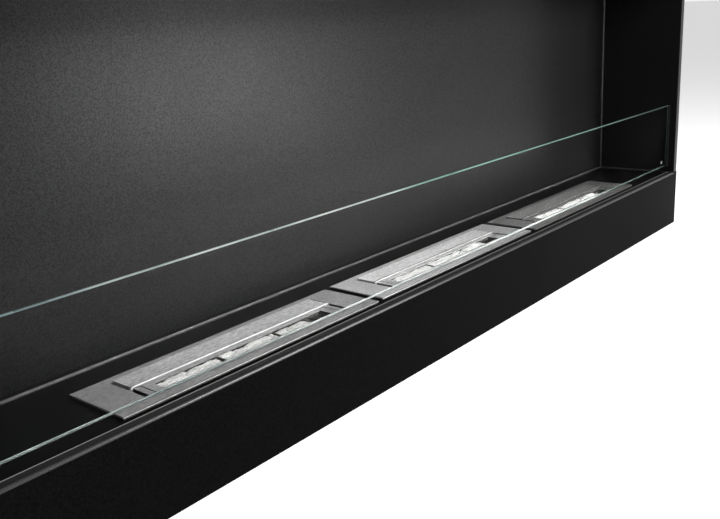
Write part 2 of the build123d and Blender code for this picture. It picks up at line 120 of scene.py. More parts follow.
# ---------------------------------------------------------------- finishes
@dataclass(frozen=True)
class Finish:
    """What every finish shares: a name and the small patterns that it is mixed from."""

    name: str

    def start(self, **settings: object) -> tuple[bpy.types.Material, bpy.types.Node]:
        """Make a material with one Principled shader.

        Args:
            **settings: The shader's even values, named as add_node takes them.

        Returns:
            The material and its shader node.
        """
        material = bpy.data.materials.new(self.name)
        material.use_nodes = True
        material.node_tree.nodes.clear()
        shader = add_node(material, "ShaderNodeBsdfPrincipled", **settings)
        add_node(material, "ShaderNodeOutputMaterial", {"Surface": shader.outputs[0]})
        return material, shader

    def pattern(self, material: bpy.types.Material, grain_mm: tuple[float, float, float],
                detail: float, turn: float = 0.0) -> bpy.types.NodeSocket:
        """Add a noise whose grain has a real size along each axis.

        Args:
            material: The material that takes the nodes.
            grain_mm: The grain's length along X, Y and Z in millimetres.
            detail: How many finer octaves the noise has.
            turn: A shift of the pattern, so that two patterns differ.

        Returns:
            The noise's socket.
        """
        place = add_node(material, "ShaderNodeTexCoord")
        stretch = add_node(
            material, "ShaderNodeMapping", {"Vector": place.outputs["Object"]},
            in_Scale=tuple(1 / (size * MM) for size in grain_mm),
            in_Location=(turn, 2 * turn, 3 * turn),
        )
        grain = add_node(
            material, "ShaderNodeTexNoise", {"Vector": stretch.outputs[0]},
            in_Scale=1.0, in_Detail=detail, in_Roughness=0.6,
        )
        return grain.outputs[0]

    def ramp(self, material: bpy.types.Material, source: bpy.types.NodeSocket,
             spread: tuple[float, float] = NOISE_SPAN,
             values: tuple[float, float] = UNIT) -> bpy.types.NodeSocket:
        """Map a value from one span to another.

        Args:
            material: The material that takes the node.
            source: The value's socket.
            spread: Where the value starts and ends.
            values: What those ends become.

        Returns:
            The mapped value's socket.
        """
        node = add_node(material, "ShaderNodeMapRange", {"Value": source})
        for name, value in zip(("From Min", "From Max", "To Min", "To Max"), (*spread, *values)):
            node.inputs[name].default_value = value
        return node.outputs[0]

    def two_tone(self, material: bpy.types.Material, factor: bpy.types.NodeSocket,
                 dark: str, light: str) -> bpy.types.NodeSocket:
        """Mix two colours by a factor.

        Args:
            material: The material that takes the node.
            factor: 0 gives the dark colour and 1 the light one.
            dark: The first sRGB hex colour.
            light: The second sRGB hex colour.

        Returns:
            The mixed colour's socket.
        """
        mix = add_node(material, "ShaderNodeMix", {"Factor": factor}, data_type="RGBA")
        mix.inputs[COLOUR_A].default_value = linear(dark)
        mix.inputs[COLOUR_B].default_value = linear(light)
        return mix.outputs[COLOUR_OUT]

    def bump(self, material: bpy.types.Material, shader: bpy.types.Node,
             height: bpy.types.NodeSocket, depth_mm: float) -> None:
        """Give the shader a bump of a real depth.

        Args:
            material: The material that takes the node.
            shader: The shader whose normal it feeds.
            height: The height's socket, from 0 to 1.
            depth_mm: The depth of the relief in millimetres.
        """
        relief = add_node(
            material, "ShaderNodeBump", {"Height": height}, in_Strength=1.0, in_Distance=depth_mm * MM,
        )
        feed(shader, "Normal", relief.outputs[0])


@dataclass(frozen=True)
class PowderCoat(Finish):
    """Fine-texture powder coat on sheet steel: sprayed and baked, so it is dark, matt and finely pitted.

    The pits of the real coat are about 0.3 mm across. They are drawn wider, so that they show at the
    distance of the camera. On the bends the coat is glossier, and painted a lighter grey as a painted
    highlight. Sparkle is how far the pits change the gloss, for the one coat whose grain shows only in its
    reflections.
    """

    dark: str
    light: str
    gloss: float
    sparkle: float = 0.0
    roughness: tuple[float, float] = (0.4, 0.5)
    grain_mm: float = 2.0
    relief_mm: float = 0.08
    cloud_mm: float = 260.0
    # By default the bends are painted lighter than the coat: a painted highlight along each fold.
    bend_highlight_dark: str = "181818"
    bend_highlight_light: str = "222222"
    bend_gloss: float = 0.45
    bend_roughness: tuple[float, float] = (0.24, 0.34)
    bend_relief_mm: float = 0.01

    def make(self) -> bpy.types.Material:
        """Make the material.

        Returns:
            The coated steel.
        """
        material, shader = self.start(in_Specular_IOR_Level=self.gloss)
        pits = self.pattern(material, (self.grain_mm,) * 3, detail=2.0)
        cloud = self.pattern(material, (self.cloud_mm,) * 3, detail=2.0, turn=4.0)
        speckle = self.ramp(material, pits)
        feed(shader, "Base Color", self.two_tone(material, speckle, self.dark, self.light))
        feed(shader, "Roughness", self.ramp(material, cloud, CLOUD_SPAN, self.roughness))
        if self.sparkle:
            gleam = (self.gloss * (1 - self.sparkle), self.gloss * (1 + self.sparkle))
            feed(shader, "Specular IOR Level", self.ramp(material, pits, GRAIN_SPAN, gleam))
        self.bump(material, shader, pits, self.relief_mm)
        return material

    def satin_bend_with_painted_highlight(self) -> bpy.types.Material:
        """Make the same coat as it is on the bends: glossier, and painted lighter as a painted highlight.

        Returns:
            The glossier coat, painted lighter as a painted highlight.
        """
        satin = replace(
            self, name=f"{self.name}_bend", dark=self.bend_highlight_dark, light=self.bend_highlight_light, gloss=self.bend_gloss,
            sparkle=0.0, roughness=self.bend_roughness, relief_mm=self.bend_relief_mm,
        )
        return satin.make()


@dataclass(frozen=True)
class LipCoatWithPaintedHighlight(PowderCoat):
    """Powder coat in a lighter, glossier grey, with a pale strip along its rear edge: a painted highlight.

    Painted_highlight_from is where the strip starts along Y, and blur is half the width of the change.
    """

    painted_highlight: str = "989898"
    painted_highlight_from: float = 0.0
    blur: float = 0.3 * MM

    def make(self) -> bpy.types.Material:
        """Make the material.

        Returns:
            The polished coat with its bare edge.
        """
        material = super().make()
        shader = material.node_tree.nodes["Principled BSDF"]
        coat = shader.inputs["Base Color"].links[0].from_socket
        place = add_node(material, "ShaderNodeTexCoord")
        depth = add_node(material, "ShaderNodeSeparateXYZ", {"Vector": place.outputs["Object"]})
        change = (self.painted_highlight_from - self.blur, self.painted_highlight_from + self.blur)
        highlit = self.ramp(material, depth.outputs["Y"], change)
        mix = add_node(material, "ShaderNodeMix", {"Factor": highlit, COLOUR_A: coat}, data_type="RGBA")
        mix.inputs[COLOUR_B].default_value = linear(self.painted_highlight)
        feed(shader, "Base Color", mix.outputs[COLOUR_OUT])
        return material


@dataclass(frozen=True)
class BrushedStainless(Finish):
    """Stainless steel sheet, finely brushed lengthwise: grey metal whose highlight spreads across the lines.

    The lines of the real steel are about 0.1 mm wide, and the flecks where the brush lifts about 0.5 mm
    long. Both are drawn larger, so that they show at the distance of the camera.
    """

    dark: str
    light: str
    line_mm: tuple[float, float, float] = (9.0, 0.6, 0.6)
    fleck_mm: tuple[float, float, float] = (6.0, 1.8, 1.8)
    fleck_share: float = 0.55
    cloud_mm: tuple[float, float, float] = (45.0, 18.0, 18.0)
    relief_mm: float = 0.01
    roughness: tuple[float, float] = (0.44, 0.52)
    spread: float = 0.8

    def make(self) -> bpy.types.Material:
        """Make the material.

        Returns:
            The brushed steel.
        """
        material, shader = self.start(in_Metallic=1.0, in_Anisotropic=self.spread)
        lines = self.pattern(material, self.line_mm, detail=4.0)
        cloud = self.pattern(material, self.cloud_mm, detail=3.0, turn=2.0)
        flecks = self.pattern(material, self.fleck_mm, detail=2.0, turn=7.0)
        both = add_node(
            material, "ShaderNodeMix", {NUMBER_A: lines, NUMBER_B: flecks}, in_Factor=self.fleck_share,
        )
        streak = self.ramp(material, both.outputs[0], STREAK_SPAN)
        feed(shader, "Base Color", self.two_tone(material, streak, self.dark, self.light))
        feed(shader, "Roughness", self.ramp(material, cloud, values=self.roughness))
        across = add_node(material, "ShaderNodeCombineXYZ", in_Y=1.0)
        feed(shader, "Tangent", across.outputs[0])
        self.bump(material, shader, lines, self.relief_mm)
        return material


@dataclass(frozen=True)
class PlainMetal(Finish):
    """Rolled, drawn or plated sheet metal without brushing: a soft, slightly mottled shine."""

    dark: str
    light: str
    mottle_mm: float = 6.0
    roughness: tuple[float, float] = (0.25, 0.45)
    metallic: float = 1.0

    def make(self) -> bpy.types.Material:
        """Make the material.

        Returns:
            The metal.
        """
        material, shader = self.start(in_Metallic=self.metallic)
        mottle = self.pattern(material, (self.mottle_mm,) * 3, detail=4.0)
        factor = self.ramp(material, mottle)
        feed(shader, "Base Color", self.two_tone(material, factor, self.dark, self.light))
        feed(shader, "Roughness", self.ramp(material, mottle, values=self.roughness))
        return material


@dataclass(frozen=True)
class ToughenedGlass(Finish):
    """Clear toughened float glass: nearly colourless through its thickness, so that only its edges show.

    The index is that of air, not of real glass. The pane then stays as clear as one with an
    anti-reflective coating, without a veil of the pale studio floor over the burners.
    """

    tint: str = "fbfbfb"
    index: float = 1.0

    def make(self) -> bpy.types.Material:
        """Make the material.

        Returns:
            The clear glass, which lets light from lamps through.
        """
        tint = linear(self.tint)
        material, shader = self.start(
            in_Base_Color=tint, in_IOR=self.index, in_Roughness=0.0, in_Transmission_Weight=1.0,
        )
        clear = add_node(material, "ShaderNodeBsdfTransparent", in_Color=tint)
        path = add_node(material, "ShaderNodeLightPath")
        mix = add_node(
            material, "ShaderNodeMixShader",
            {0: path.outputs["Is Shadow Ray"], 1: shader.outputs[0], 2: clear.outputs[0]},
        )
        feed(material.node_tree.nodes["Material Output"], "Surface", mix.outputs[0])
        return material


@dataclass(frozen=True)
class GroundGlassEdge(Finish):
    """The ground edge of the pane: satin, and green where the eye looks along the glass.

    Its tone drifts slowly along the pane: a painted reflection of the light along the edge. Places are where
    the drift starts along X, where its bright and its middle stretch start and end, and where it is over.
    """

    near: str = "728587"
    bright: str = "d4dad7"
    middle: str = "9fcbbe"
    far: str = "4c5d57"
    places: tuple[float, float, float, float, float, float] = (-0.75, -0.45, -0.2, -0.1, 0.1, 0.65)
    shade: str = "c4cccb"
    grain_mm: float = 60.0
    gloss: float = 0.45
    roughness: tuple[float, float] = (0.25, 0.4)

    def make(self) -> bpy.types.Material:
        """Make the material.

        Returns:
            The frosted edge.
        """
        material, shader = self.start(in_Specular_IOR_Level=self.gloss)
        tone = self.pattern(material, (self.grain_mm,) * 3, detail=4.0)
        cloud = self.two_tone(material, self.ramp(material, tone, GRAIN_SPAN), self.shade, WHITE)
        mix = add_node(
            material, "ShaderNodeMix", {COLOUR_A: self.painted_reflection(material), COLOUR_B: cloud},
            data_type="RGBA", blend_type="MULTIPLY", in_Factor=1.0,
        )
        feed(shader, "Base Color", mix.outputs[COLOUR_OUT])
        feed(shader, "Roughness", self.ramp(material, tone, values=self.roughness))
        return material

    def painted_reflection(self, material: bpy.types.Material) -> bpy.types.NodeSocket:
        """Add the slow change of tone along the pane: a painted reflection.

        Args:
            material: The material that takes the nodes.

        Returns:
            The socket of the drifting colour.
        """
        first, last = self.places[0], self.places[-1]
        place = add_node(material, "ShaderNodeTexCoord")
        along = add_node(material, "ShaderNodeSeparateXYZ", {"Vector": place.outputs["Object"]})
        share = self.ramp(material, along.outputs["X"], (first, last))
        band = add_node(material, "ShaderNodeValToRGB", {"Fac": share})
        stops = band.color_ramp.elements
        tones = (self.bright, self.bright, self.middle, self.middle)
        for spot, tone in zip(self.places[1:-1], tones):
            stops.new((spot - first) / (last - first)).color = linear(tone)
        stops[0].color = linear(self.near)
        stops[-1].color = linear(self.far)
        return band.outputs[0]


@dataclass(frozen=True)
class CeramicWool(Finish):
    """Ceramic fibre wool: pale, matt, felted fibres that scatter light inside.

    Real fibres are a few thousandths of a millimetre thick. They are drawn as coarse strands, so that they
    show at the distance of the camera. The shader's own scale of 0.05 brings the scatter to 0.1 mm.
    """

    dark: str
    light: str
    fibre_mm: float = 1.6
    relief_mm: float = 0.1
    roughness: tuple[float, float] = (0.8, 0.95)
    gloss: float = 0.2
    scatter_share: float = 0.35
    scatter: tuple[float, float, float] = (2 * MM, 2 * MM, 2 * MM)

    def make(self) -> bpy.types.Material:
        """Make the material.

        Returns:
            The wool.
        """
        material, shader = self.start(
            in_Specular_IOR_Level=self.gloss, in_Subsurface_Weight=self.scatter_share,
            in_Subsurface_Radius=self.scatter,
        )
        fibres = self.pattern(material, (self.fibre_mm,) * 3, detail=6.0)
        factor = self.ramp(material, fibres, FIBRE_SPAN)
        feed(shader, "Base Color", self.two_tone(material, factor, self.dark, self.light))
        feed(shader, "Roughness", self.ramp(material, fibres, values=self.roughness))
        self.bump(material, shader, fibres, self.relief_mm)
        return material


# ---------------------------------------------------------------- helpers for pieces
class SheetFace(Enum):
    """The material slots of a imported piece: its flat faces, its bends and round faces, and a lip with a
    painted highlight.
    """

    FLAT = 0
    BEND = 1
    LIP = 2


def dress(node: str, flat: bpy.types.Material, turned: bpy.types.Material | None = None) -> None:
    """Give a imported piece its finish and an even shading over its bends.

    Args:
        node: The piece's name in the frame.
        flat: The finish of its flat faces.
        turned: The finish of its bends, chamfers and round faces, if it differs.
    """
    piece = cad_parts[node]
    mesh = piece.data
    mesh.materials.clear()
    mesh.materials.append(flat)
    if turned:
        mesh.materials.append(turned)
        square = math.cos(FLAT_WITHIN)
        for face in mesh.polygons:
            is_flat = max(abs(value) for value in face.normal) > square
            face.material_index = (SheetFace.FLAT if is_flat else SheetFace.BEND).value
    mesh.shade_smooth()
    weld = piece.modifiers.new("weld", "WELD")
    weld.merge_threshold = WELD_GAP
    split = piece.modifiers.new("sharp edges", "EDGE_SPLIT")
    split.split_angle = SHARP_FROM
    even = piece.modifiers.new("even faces", "WEIGHTED_NORMAL")
    even.mode = "FACE_AREA"
    even.weight = 100
    LOG.info("dressed %s", node)


def new_piece(name: str, shape: bmesh.types.BMesh, material: bpy.types.Material,
              body: str) -> bpy.types.Object:
    """Turn a finished bmesh into a piece that rides on a body.

    Args:
        name: The piece's name.
        shape: The bmesh, in place; it is freed.
        material: Its finish.
        body: The body it rides on.

    Returns:
        The new object.
    """
    mesh = bpy.data.meshes.new(name)
    shape.to_mesh(mesh)
    shape.free()
    mesh.materials.append(material)
    piece = bpy.data.objects.new(name, mesh)
    bpy.context.scene.collection.objects.link(piece)
    mesh.shade_smooth()
    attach(piece, body)
    LOG.info("built %s, %d faces", name, len(mesh.polygons))
    return piece


# ---------------------------------------------------------------- sub-assemblies
@dataclass
class Casing:
    """The outer casing, the fascia and the header."""

    # The casing's coat is charcoal and matt, with satin bends painted a little lighter as a painted highlight.
    coat: PowderCoat = PowderCoat("powder_coated_casing_steel", dark="161616", light="1e1e1e", gloss=0.2)
    # The fascia's coat is nearly black and mirrors next to nothing. Its bends are painted grey, so that they
    # draw painted highlight lines.
    front_coat: PowderCoat = PowderCoat(
        "powder_coated_fascia_steel", dark="050505", light="0d0d0d", gloss=0.01, bend_gloss=0.42,
    )
    # The lip is a lighter satin grey, with a pale strip along its rear hem: a painted highlight.
    lip_coat: LipCoatWithPaintedHighlight = LipCoatWithPaintedHighlight(
        "powder_coated_fascia_steel_worn", dark="1a1a1a", light="2a2a2a", gloss=0.4,
        roughness=(0.3, 0.4), relief_mm=0.02,
    )
    # Zinc plating makes the screws pale dots on the back.
    zinc: PlainMetal = PlainMetal("zinc_plated_screws", dark="9a9c9e", light="c6c8ca")
    painted_highlight_width: float = 3.4 * MM
    # The lip's faces look straight up, and those of its hem up and backwards by at least this much.
    top_facing: float = 0.99
    hem_facing: float = 0.1

    def build(self) -> None:
        """Dress the casing's pieces."""
        steel = self.coat.make()
        bend = self.coat.satin_bend_with_painted_highlight()
        for node in ("casing_back", "casing_right", "casing_left", "casing_top", "base_pan"):
            dress(node, steel, bend)
        front = self.front_coat.make()
        front_bend = self.front_coat.satin_bend_with_painted_highlight()
        for node in ("front_fascia", "header_strip"):
            dress(node, front, front_bend)
        self.paint_lip_highlight(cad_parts["front_fascia"].data)
        dress("casing_screws", self.zinc.make())

    def paint_lip_highlight(self, fascia: bpy.types.Mesh) -> None:
        """Give the top of the lip and its rear hem their lighter coat, with the painted highlight along the
        hem.

        Args:
            fascia: The fascia's mesh.
        """
        rear = max(vert.co.y for vert in fascia.vertices)
        fascia.materials.append(replace(self.lip_coat, painted_highlight_from=rear - self.painted_highlight_width).make())
        for face in fascia.polygons:
            is_top = face.normal.z > self.top_facing
            is_hem = min(face.normal.z, face.normal.y) > self.hem_facing
            if is_top or is_hem:
                face.material_index = SheetFace.LIP.value


@dataclass
class Firebox:
    """The liner: floor, back wall, end walls, ceiling and the supports behind them."""

    # The heat-resistant coat of the back wall is satin, and shows the light as a wide grey glow with a grain.
    coat: PowderCoat = PowderCoat(
        "heat_resistant_liner_coat", dark="0a0a0a", light="161616", gloss=0.155, sparkle=0.28,
        roughness=(0.29, 0.37), bend_gloss=0.35,
    )
    # The end walls' coat is smoother, and painted nearly black as painted shade, since they face away from the
    # light.
    painted_shade_side_coat: PowderCoat = PowderCoat(
        "heat_resistant_side_coat", dark="080808", light="0f0f0f", gloss=0.1, relief_mm=0.02,
        bend_gloss=0.35,
    )
    # The floor's coat is dark too. Its bends and collars are painted a mid grey, so that they show as thin
    # painted highlight lines.
    floor_coat: PowderCoat = PowderCoat(
        "heat_resistant_floor_coat", dark="080808", light="0c0c0c", gloss=0.11, relief_mm=0.03,
        roughness=(0.32, 0.42), bend_highlight_dark="3a3a3a", bend_highlight_light="464646", bend_gloss=0.2,
    )
    # The hidden supports are uncoated, with the blotchy grey of galvanised sheet.
    zinc: PlainMetal = PlainMetal("galvanised_steel_sheet", dark="8d9194", light="b1b6b9", mottle_mm=14.0)

    def build(self) -> None:
        """Dress the firebox's pieces."""
        steel = self.coat.make()
        # The bends of the back wall, ceiling and end walls are painted lighter: a painted highlight along each
        # fold.
        bend = self.coat.satin_bend_with_painted_highlight()
        for node in ("back_wall", "ceiling_sheet"):
            dress(node, steel, bend)
        side = self.painted_shade_side_coat.make()
        for node in ("end_wall_right", "end_wall_left"):
            dress(node, side, bend)
        dress("hearth_sheet", self.floor_coat.make(), self.floor_coat.satin_bend_with_painted_highlight())
        sheet = self.zinc.make()
        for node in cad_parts:
            if node.startswith(("floor_support_", "liner_bracket_")):
                dress(node, sheet)


class PaneFace(Enum):
    """The material slots of the pane: its clear faces, its top edge, and its foot and ends."""

    CLEAR = 0
    TOP = 1
    FOOT = 2


@dataclass
class GlassScreen:
    """The pane in its two channels."""

    faces: ToughenedGlass = ToughenedGlass("clear_toughened_glass")
    # The top edge shows as a thin line, from grey through near white to the green of glass: a painted
    # reflection along it.
    top: GroundGlassEdge = GroundGlassEdge("ground_glass_edge")
    # The foot and the ends lack the green: they are grey, near white in the middle and dark at the far end, a
    # painted reflection that darkens into painted shade.
    foot: GroundGlassEdge = GroundGlassEdge(
        "ground_glass_foot_edge", near="717877", bright="b2b6b4", middle="d4d9d6", far="44534e",
        places=(-0.45, -0.35, 0.0, 0.1, 0.42, 0.52),
    )
    # The channels nearly vanish against the end walls.
    coat: PowderCoat = PowderCoat(
        "powder_coated_channel_steel", dark="080808", light="0e0e0e", gloss=0.1, bend_gloss=0.15,
    )
    # The screws are near white and only partly metallic, so that each is a bright dot: the white bloom of new
    # zinc plating, and a painted glint.
    zinc: PlainMetal = PlainMetal("zinc_plated_channel_screws", dark="dcdee0", light="f4f5f6", metallic=0.3)
    # How directly the clear faces look along Y, and those of the foot and the ends down or along X.
    clear_facing: float = 0.9
    foot_facing: float = 0.5

    def build(self) -> None:
        """Dress the pane's faces and its ground edges, the channels and their screws."""
        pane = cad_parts["glass_pane"].data
        pane.materials.clear()
        for finish in (self.faces, self.top, self.foot):
            pane.materials.append(finish.make())
        for face in pane.polygons:
            kind = PaneFace.CLEAR if abs(face.normal.y) > self.clear_facing else PaneFace.TOP
            is_shaded = max(-face.normal.z, abs(face.normal.x)) > self.foot_facing
            face.material_index = (PaneFace.FOOT if is_shaded else kind).value
        pane.shade_flat()
        channel = self.coat.make()
        # The channels' bends are painted lighter: a painted highlight.
        bend = self.coat.satin_bend_with_painted_highlight()
        for node in ("glass_channel_right", "glass_channel_left"):
            dress(node, channel, bend)
        dress("glass_channel_screws", self.zinc.make())


@dataclass
class Wool:
    """The ceramic wool of one burner: torn tufts in the bays of its mouth, on a bed that fills the tank."""

    number: int
    finish: bpy.types.Material
    # How deep the gaps between its tufts are torn.
    gap_depth: float
    # The mouth's frame, whose bays the tufts fill with a little play.
    bay_count: int = 3
    frame_wall: float = 1.2 * MM
    crossbar: float = 2.0 * MM
    play: float = 0.3 * MM
    # The bed: how far it lies under the solid wool's top, its rounded edges, and its lumps' size and height.
    bed_drop: float = 26.0 * MM
    bed_round: float = 6 * MM
    bed_lump: float = 14 * MM
    bed_relief: float = 1 * MM
    # A tuft's length and depth, its crown above the solid wool, and the spacing of its points.
    tuft: tuple[float, float] = (30 * MM, 15 * MM)
    rise: float = 4.3 * MM
    pitch: float = 0.8 * MM
    # How far the tufts' outlines sway and how often, how far two burners' patterns lie apart, how wide the
    # gaps are as a share of a tuft, and how full the crowns (under 1 is fuller).
    sway: float = 0.35
    sway_rate: float = 1.9
    pattern_step: float = 1.7
    gap_share: float = 0.5
    fullness: float = 0.55
    # How much the tufts' heights differ and how fast that changes from one to the next.
    uneven: float = 0.14
    uneven_rate: float = 5.3
    # The torn surface: its size, its octaves (fall-off, step and number) and its height.
    shred_size: float = 3.2 * MM
    shred_octaves: tuple[float, float, int] = (0.9, 2.1, 3)
    shred: float = 0.03
    # At the frame the tufts round off within this distance, down to this share of their height.
    rounding: float = 0.8 * MM
    rim_share: float = 0.75
    # The loose fibres of a bay: their number, section, place, curve, length and tilt.
    fibre_count: int = 36
    fibre_radius: float = 0.11 * MM
    fibre_sides: int = 3
    fibre_steps: int = 5
    fibre_margin: float = 4 * MM
    fibre_lift: float = 0.1 * MM
    fibre_curve_mm: tuple[float, float] = (3, 9)
    fibre_length_mm: float = 3.5
    fibre_part: tuple[float, float] = (0.4, 0.7)
    fibre_tilt: float = 0.3

    def build(self) -> None:
        """Lay the tufts on the bed and scatter loose fibres over them."""
        node = f"ceramic_wool_{self.number}"
        low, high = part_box(node)
        mouth_low, mouth_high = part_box(f"wool_retainer_{self.number}")
        start = mouth_low.x + self.frame_wall
        step = (mouth_high.x - mouth_low.x - 2 * self.frame_wall) / self.bay_count
        shape = self.bed(low, Vector((high.x, high.y, high.z - self.bed_drop)))
        chance = random.Random(self.number)
        # Without a seed, noise_vector takes its offsets from the clock.
        noise.seed_set(self.number)
        for bay in range(self.bay_count):
            first = start + bay * step + self.crossbar / 2 + self.play
            last = min(start + (bay + 1) * step - self.crossbar / 2 - self.play, high.x)
            corner = Vector((first, mouth_low.y + self.frame_wall + self.play, high.z))
            far = Vector((last, mouth_high.y - self.frame_wall - self.play, high.z - self.bed_drop))
            self.add_tufts(shape, corner, far)
            self.add_fibres(shape, corner, far, chance)
        piece = new_piece(
            f"torn_wool_{self.number}", shape, self.finish, f"burner_{self.number}"
        )
        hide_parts(node)

    def bed(self, low: Vector, high: Vector) -> bmesh.types.BMesh:
        """Make the felted bed under the tufts.

        Args:
            low: Its lowest corner.
            high: Its highest corner.

        Returns:
            The bed as a new bmesh.
        """
        shape = bmesh.new()
        size = high - low
        place = Matrix.Translation((low + high) / 2) @ Matrix.Diagonal((*size, 1.0))
        bmesh.ops.create_cube(shape, size=1.0, matrix=place)
        bmesh.ops.bevel(
            shape, geom=shape.edges[:], affect="EDGES", offset=self.bed_round, segments=3,
            profile=0.5, material=-1,
        )
        bmesh.ops.subdivide_edges(shape, edges=shape.edges[:], cuts=3, use_grid_fill=True)
        for vert in shape.verts:
            if vert.co.z > (low.z + high.z) / 2:
                vert.co.z += (noise.noise(vert.co / self.bed_lump) - 1.0) * self.bed_relief
        return shape

    def height(self, x: float, y: float) -> float:
        """How high the tufts stand at a place, from 0 in a torn gap to 1 on a crown.

        Args:
            x: The place along the fireplace.
            y: The place across it.

        Returns:
            The height, from 0 to 1.
        """
        spot = Vector((x / self.tuft[0], y / self.tuft[1], self.pattern_step * self.number))
        spot += self.sway * noise.noise_vector(spot * self.sway_rate)
        distances, centres = noise.voronoi(spot)
        crown = min((distances[1] - distances[0]) / self.gap_share, 1.0) ** self.fullness
        own = 1 - self.uneven + self.uneven * noise.noise(centres[0] * self.uneven_rate)
        torn = noise.fractal(Vector((x, y, 0.0)) / self.shred_size, *self.shred_octaves)
        return min(max(0.0, crown * own + self.shred * torn), 1.0)

    def level(self, top: float, stand: float) -> float:
        """Turn a tuft's height from 0 to 1 into its level over the solid wool's top."""
        return top + self.rise - self.gap_depth * (1.0 - stand)

    def add_tufts(self, shape: bmesh.types.BMesh, corner: Vector, far: Vector) -> None:
        """Add the tufts of one bay as a closed lump.

        Args:
            shape: The wool so far.
            corner: The bay's near left corner, at the wool's top.
            far: The bay's far right corner, at the bed.
        """
        size = far - corner
        place = Matrix.Translation((corner + far) / 2) @ Matrix.Diagonal((size.x, size.y, 1.0, 1.0))
        grid = bmesh.ops.create_grid(
            shape, x_segments=round(size.x / self.pitch), y_segments=round(size.y / self.pitch),
            size=0.5, matrix=place,
        )
        border = [edge for vert in grid["verts"] for edge in vert.link_edges if edge.is_boundary]
        border = list(dict.fromkeys(border))
        walls = bmesh.ops.extrude_edge_only(shape, edges=border)["geom"]
        foot = [item for item in walls if isinstance(item, bmesh.types.BMVert)]
        for vert in foot:
            vert.co.z = far.z
        rim = [item for item in walls if isinstance(item, bmesh.types.BMEdge) and item.is_boundary]
        bmesh.ops.holes_fill(shape, edges=rim)
        for vert in grid["verts"]:
            edge = min(vert.co.x - corner.x, far.x - vert.co.x, vert.co.y - corner.y, far.y - vert.co.y)
            round_off = math.sqrt(max(min(edge / self.rounding, 1.0), 0.0))
            share = self.rim_share + (1 - self.rim_share) * round_off
            vert.co.z = self.level(corner.z, self.height(vert.co.x, vert.co.y) * share)

    def add_fibres(self, shape: bmesh.types.BMesh, corner: Vector, far: Vector,
                   chance: random.Random) -> None:
        """Scatter loose curved fibres over the tufts of one bay.

        Args:
            shape: The wool so far.
            corner: The bay's near left corner, at the wool's top.
            far: The bay's far right corner, at the bed.
            chance: The source of the scatter.
        """
        fibres = bmesh.new()
        margin = self.fibre_margin
        for _ in range(self.fibre_count):
            x = chance.uniform(corner.x + margin, far.x - margin)
            y = chance.uniform(corner.y + margin, far.y - margin)
            z = self.level(corner.z, self.height(x, y)) + self.fibre_lift
            radius = chance.uniform(*self.fibre_curve_mm) * MM
            length = chance.uniform(*self.fibre_part) * chance.choice((-1, 1)) * self.fibre_length_mm * MM
            ring = bmesh.ops.create_circle(
                fibres, segments=self.fibre_sides, radius=self.fibre_radius
            )["verts"]
            heading = Matrix.Rotation(chance.uniform(0, math.tau), 4, "Z")
            place = Matrix.Translation((x, y, z)) @ heading @ Matrix.Rotation(math.pi / 2, 4, "Y")
            bmesh.ops.transform(fibres, matrix=place, verts=ring)
            side = heading @ Vector((0.0, radius, 0.0))
            axis = heading @ Vector((chance.uniform(-self.fibre_tilt, self.fibre_tilt), 0.0, 1.0))
            edges = list(dict.fromkeys(edge for vert in ring for edge in vert.link_edges))
            bmesh.ops.spin(
                fibres, geom=ring + edges, cent=Vector((x, y, z)) + side, axis=axis.normalized(),
                angle=length / radius, steps=self.fibre_steps, use_duplicate=False,
            )
        bmesh.ops.holes_fill(fibres, edges=fibres.edges[:], sides=self.fibre_sides)
        bmesh.ops.recalc_face_normals(fibres, faces=fibres.faces[:])
        loose = bpy.data.meshes.new("loose_fibres")
        fibres.to_mesh(loose)
        fibres.free()
        shape.from_mesh(loose)
        bpy.data.meshes.remove(loose)


@dataclass(frozen=True)
class Tones:
    """One burner's colours, each as a darker and a lighter sRGB hex colour, and how deep its wool is torn."""

    plate: tuple[str, str]
    shutter: tuple[str, str]
    bead: tuple[str, str]
    wool: tuple[str, str]
    tear: float


class BurnerTone(Enum):
    """How light a burner's plate, shutter, bead and wool look.

    Each burner's steel is painted lighter or darker: a painted highlight on the middle burner and painted
    shade on the far one, for how differently each mirrors the light. The wool of the nearest one is greyer, and
    its tufts are more torn from use.
    """

    MIDDLE = Tones(
        plate=("888888", "a8a8a8"), shutter=("a2a2a2", "dadada"),
        bead=("9e9e9e", "b8b8b8"), wool=("7c7c7a", "b5b5b3"), tear=3.9 * MM,
    )
    LIGHT = Tones(
        plate=("b0b0b0", "cecece"), shutter=("d6d6d6", "ffffff"),
        bead=("8e8e8e", "a6a6a6"), wool=("a5a5a3", "cececc"), tear=2.6 * MM,
    )
    DULL = Tones(
        plate=("80807f", "9c9c9b"), shutter=("90908f", "c0c0bf"),
        bead=("5c5c5c", "6e6e6e"), wool=("ababa9", "d6d6d4"), tear=2.6 * MM,
    )

    def plate(self) -> bpy.types.Material:
        """Make the plate's steel."""
        return BrushedStainless(f"brushed_stainless_plate_{self.name.lower()}", *self.value.plate).make()

    def shutter(self) -> bpy.types.Material:
        """Make the shutter's steel."""
        return BrushedStainless(f"brushed_stainless_shutter_{self.name.lower()}", *self.value.shutter).make()

    def bead(self) -> bpy.types.Material:
        """Make the steel of the shutter's rolled bead, which draws one soft bright line."""
        name = f"rolled_stainless_bead_{self.name.lower()}"
        return PlainMetal(name, *self.value.bead, mottle_mm=12.0, roughness=(0.5, 0.6)).make()

    def wool(self) -> bpy.types.Material:
        """Make the wool."""
        return CeramicWool(f"ceramic_fibre_wool_{self.name.lower()}", *self.value.wool).make()


